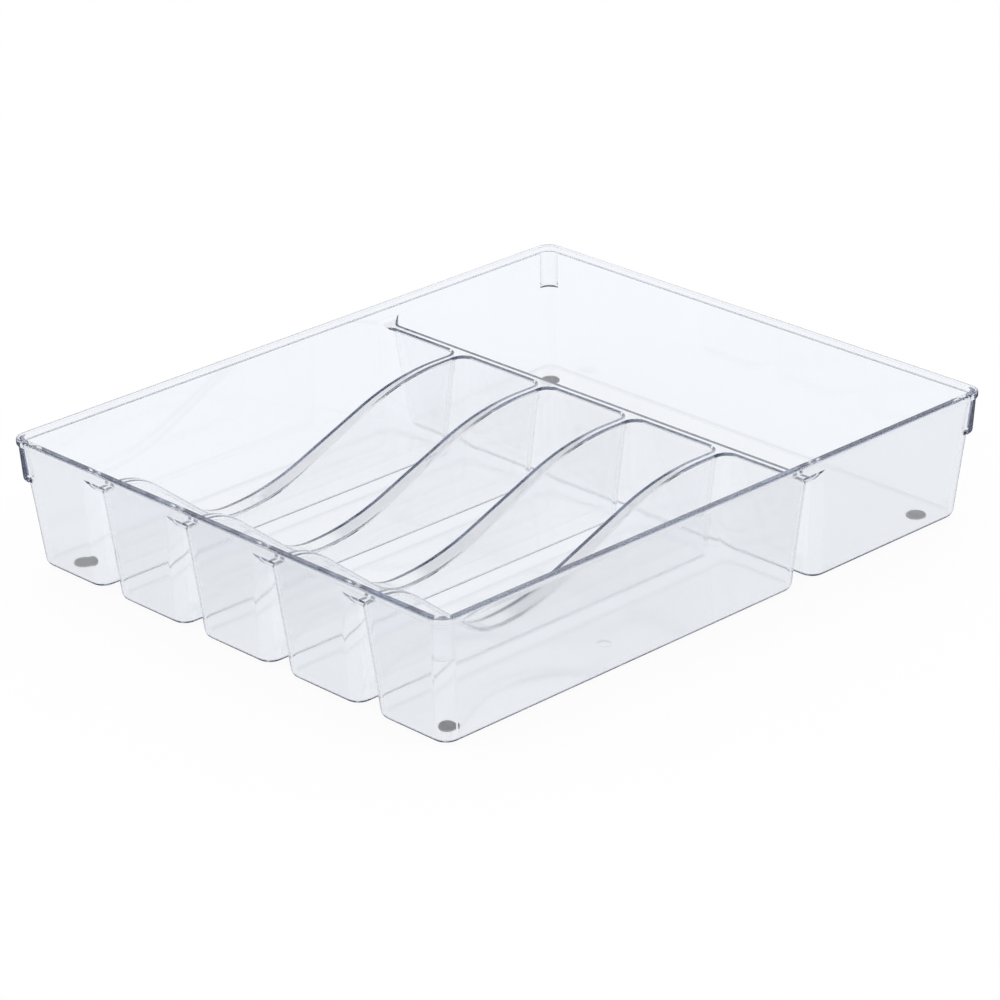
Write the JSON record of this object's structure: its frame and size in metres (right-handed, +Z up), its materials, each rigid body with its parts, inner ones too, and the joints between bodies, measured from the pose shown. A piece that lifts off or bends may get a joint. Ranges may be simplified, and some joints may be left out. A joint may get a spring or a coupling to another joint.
{
  "type": "cutlery tray",
  "caption": "Clear plastic cutlery tray: tapered compartments side by side behind wavy scooped dividers, one across the rear, a lipped rim, corner lugs and stick-on rubber feet.",
  "frame": {"origin": "on the surface it rests on, under the middle of the tray's length and width", "axes": "+X to the right across the side-by-side compartments, +Y from the front towards the compartment across the rear, +Z up"},
  "size_m": [0.3316, 0.4, 0.0746],
  "materials": {
    "clear_plastic": "clear polished injection-moulded polystyrene",
    "foot_rubber": "grey matt rubber",
    "foot_adhesive": "thin translucent adhesive film"
  },
  "bodies": {
    "root": {"tray_body": "clear_plastic", "foot_pad_front_left": "foot_rubber", "foot_adhesive_front_left": "foot_adhesive", "foot_pad_front_right": "foot_rubber", "foot_adhesive_front_right": "foot_adhesive", "foot_pad_rear_left": "foot_rubber", "foot_adhesive_rear_left": "foot_adhesive", "foot_pad_rear_right": "foot_rubber", "foot_adhesive_rear_right": "foot_adhesive"}
  },
  "joints": []
}
